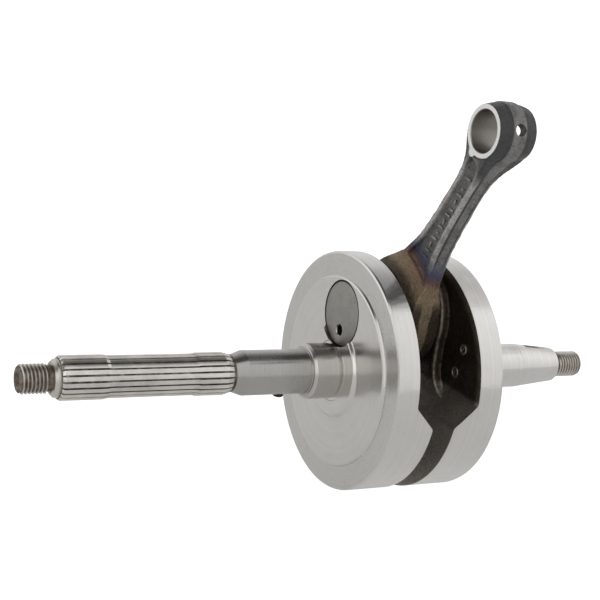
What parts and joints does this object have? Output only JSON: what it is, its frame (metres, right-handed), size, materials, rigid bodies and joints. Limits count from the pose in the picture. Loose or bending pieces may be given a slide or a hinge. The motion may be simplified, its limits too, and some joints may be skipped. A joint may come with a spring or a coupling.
{
  "type": "crankshaft",
  "caption": "Built-up single-cylinder crankshaft: two full-circle webs with counterweights, splined and tapered shafts, pressed crankpin and connecting rod on a needle bearing.",
  "frame": {"origin": "on the crank axis, midway between the two webs", "axes": "+X along the crank axis towards the tapered shaft, -X towards the splined shaft, +Z from the crank axis towards the crankpin (top dead centre), -Y the side the connecting rod leans to at rest"},
  "size_m": [0.2294, 0.0968, 0.1508],
  "materials": {
    "turned_steel": "bright turned and ground steel, satin; forged skin left dark on the inner faces of the webs",
    "pin_steel": "ground crankpin with a dull grey end face",
    "black_steel": "black hardened pin",
    "forged_steel": "dark forged skin, straw to blue heat tint at the big end, bright machined end faces and bores",
    "cage_steel": "silver-plated steel cage",
    "roller_steel": "polished bearing steel"
  },
  "bodies": {
    "crank": {"left_crank_half": "turned_steel", "right_crank_half": "turned_steel", "crankpin": "pin_steel", "drive_dowel": "black_steel"},
    "rod": {"connecting_rod": "forged_steel"},
    "cage": {"big_end_cage": "cage_steel"},
    "roller_01": {"needle_roller_01": "roller_steel"},
    "roller_02": {"needle_roller_02": "roller_steel"},
    "roller_03": {"needle_roller_03": "roller_steel"},
    "roller_04": {"needle_roller_04": "roller_steel"},
    "roller_05": {"needle_roller_05": "roller_steel"},
    "roller_06": {"needle_roller_06": "roller_steel"},
    "roller_07": {"needle_roller_07": "roller_steel"},
    "roller_08": {"needle_roller_08": "roller_steel"},
    "roller_09": {"needle_roller_09": "roller_steel"},
    "roller_10": {"needle_roller_10": "roller_steel"},
    "roller_11": {"needle_roller_11": "roller_steel"},
    "roller_12": {"needle_roller_12": "roller_steel"},
    "roller_13": {"needle_roller_13": "roller_steel"},
    "roller_14": {"needle_roller_14": "roller_steel"},
    "roller_15": {"needle_roller_15": "roller_steel"},
    "roller_16": {"needle_roller_16": "roller_steel"}
  },
  "joints": [
    {"name": "rod_swing", "type": "hinge", "parent": "crank", "child": "rod", "pos_m": [0, 0, 0.02175], "axis": [1, 0, 0], "continuous": true},
    {"name": "cage_turn", "type": "hinge", "parent": "crank", "child": "cage", "pos_m": [0, 0, 0.02175], "axis": [1, 0, 0], "continuous": true},
    {"name": "roller_01_spin", "type": "hinge", "parent": "cage", "child": "roller_01", "pos_m": [0, 0, 0.03525], "axis": [1, 0, 0], "continuous": true},
    {"name": "roller_02_spin", "type": "hinge", "parent": "cage", "child": "roller_02", "pos_m": [0, -0.00517, 0.03422], "axis": [1, 0, 0], "continuous": true},
    {"name": "roller_03_spin", "type": "hinge", "parent": "cage", "child": "roller_03", "pos_m": [0, -0.00955, 0.0313], "axis": [1, 0, 0], "continuous": true},
    {"name": "roller_04_spin", "type": "hinge", "parent": "cage", "child": "roller_04", "pos_m": [0, -0.01247, 0.02692], "axis": [1, 0, 0], "continuous": true},
    {"name": "roller_05_spin", "type": "hinge", "parent": "cage", "child": "roller_05", "pos_m": [0, -0.0135, 0.02175], "axis": [1, 0, 0], "continuous": true},
    {"name": "roller_06_spin", "type": "hinge", "parent": "cage", "child": "roller_06", "pos_m": [0, -0.01247, 0.01658], "axis": [1, 0, 0], "continuous": true},
    {"name": "roller_07_spin", "type": "hinge", "parent": "cage", "child": "roller_07", "pos_m": [0, -0.00955, 0.0122], "axis": [1, 0, 0], "continuous": true},
    {"name": "roller_08_spin", "type": "hinge", "parent": "cage", "child": "roller_08", "pos_m": [0, -0.00517, 0.00928], "axis": [1, 0, 0], "continuous": true},
    {"name": "roller_09_spin", "type": "hinge", "parent": "cage", "child": "roller_09", "pos_m": [0, 0, 0.00825], "axis": [1, 0, 0], "continuous": true},
    {"name": "roller_10_spin", "type": "hinge", "parent": "cage", "child": "roller_10", "pos_m": [0, 0.00517, 0.00928], "axis": [1, 0, 0], "continuous": true},
    {"name": "roller_11_spin", "type": "hinge", "parent": "cage", "child": "roller_11", "pos_m": [0, 0.00955, 0.0122], "axis": [1, 0, 0], "continuous": true},
    {"name": "roller_12_spin", "type": "hinge", "parent": "cage", "child": "roller_12", "pos_m": [0, 0.01247, 0.01658], "axis": [1, 0, 0], "continuous": true},
    {"name": "roller_13_spin", "type": "hinge", "parent": "cage", "child": "roller_13", "pos_m": [0, 0.0135, 0.02175], "axis": [1, 0, 0], "continuous": true},
    {"name": "roller_14_spin", "type": "hinge", "parent": "cage", "child": "roller_14", "pos_m": [0, 0.01247, 0.02692], "axis": [1, 0, 0], "continuous": true},
    {"name": "roller_15_spin", "type": "hinge", "parent": "cage", "child": "roller_15", "pos_m": [0, 0.00955, 0.0313], "axis": [1, 0, 0], "continuous": true},
    {"name": "roller_16_spin", "type": "hinge", "parent": "cage", "child": "roller_16", "pos_m": [0, 0.00517, 0.03422], "axis": [1, 0, 0], "continuous": true}
  ],
  "couplings": [
    {"joint": "cage_turn", "follows": "rod_swing", "ratio": 0.55556},
    {"joint": "roller_01_spin", "follows": "rod_swing", "ratio": 4.4444},
    {"joint": "roller_02_spin", "follows": "rod_swing", "ratio": 4.4444},
    {"joint": "roller_03_spin", "follows": "rod_swing", "ratio": 4.4444},
    {"joint": "roller_04_spin", "follows": "rod_swing", "ratio": 4.4444},
    {"joint": "roller_05_spin", "follows": "rod_swing", "ratio": 4.4444},
    {"joint": "roller_06_spin", "follows": "rod_swing", "ratio": 4.4444},
    {"joint": "roller_07_spin", "follows": "rod_swing", "ratio": 4.4444},
    {"joint": "roller_08_spin", "follows": "rod_swing", "ratio": 4.4444},
    {"joint": "roller_09_spin", "follows": "rod_swing", "ratio": 4.4444},
    {"joint": "roller_10_spin", "follows": "rod_swing", "ratio": 4.4444},
    {"joint": "roller_11_spin", "follows": "rod_swing", "ratio": 4.4444},
    {"joint": "roller_12_spin", "follows": "rod_swing", "ratio": 4.4444},
    {"joint": "roller_13_spin", "follows": "rod_swing", "ratio": 4.4444},
    {"joint": "roller_14_spin", "follows": "rod_swing", "ratio": 4.4444},
    {"joint": "roller_15_spin", "follows": "rod_swing", "ratio": 4.4444},
    {"joint": "roller_16_spin", "follows": "rod_swing", "ratio": 4.4444}
  ]
}
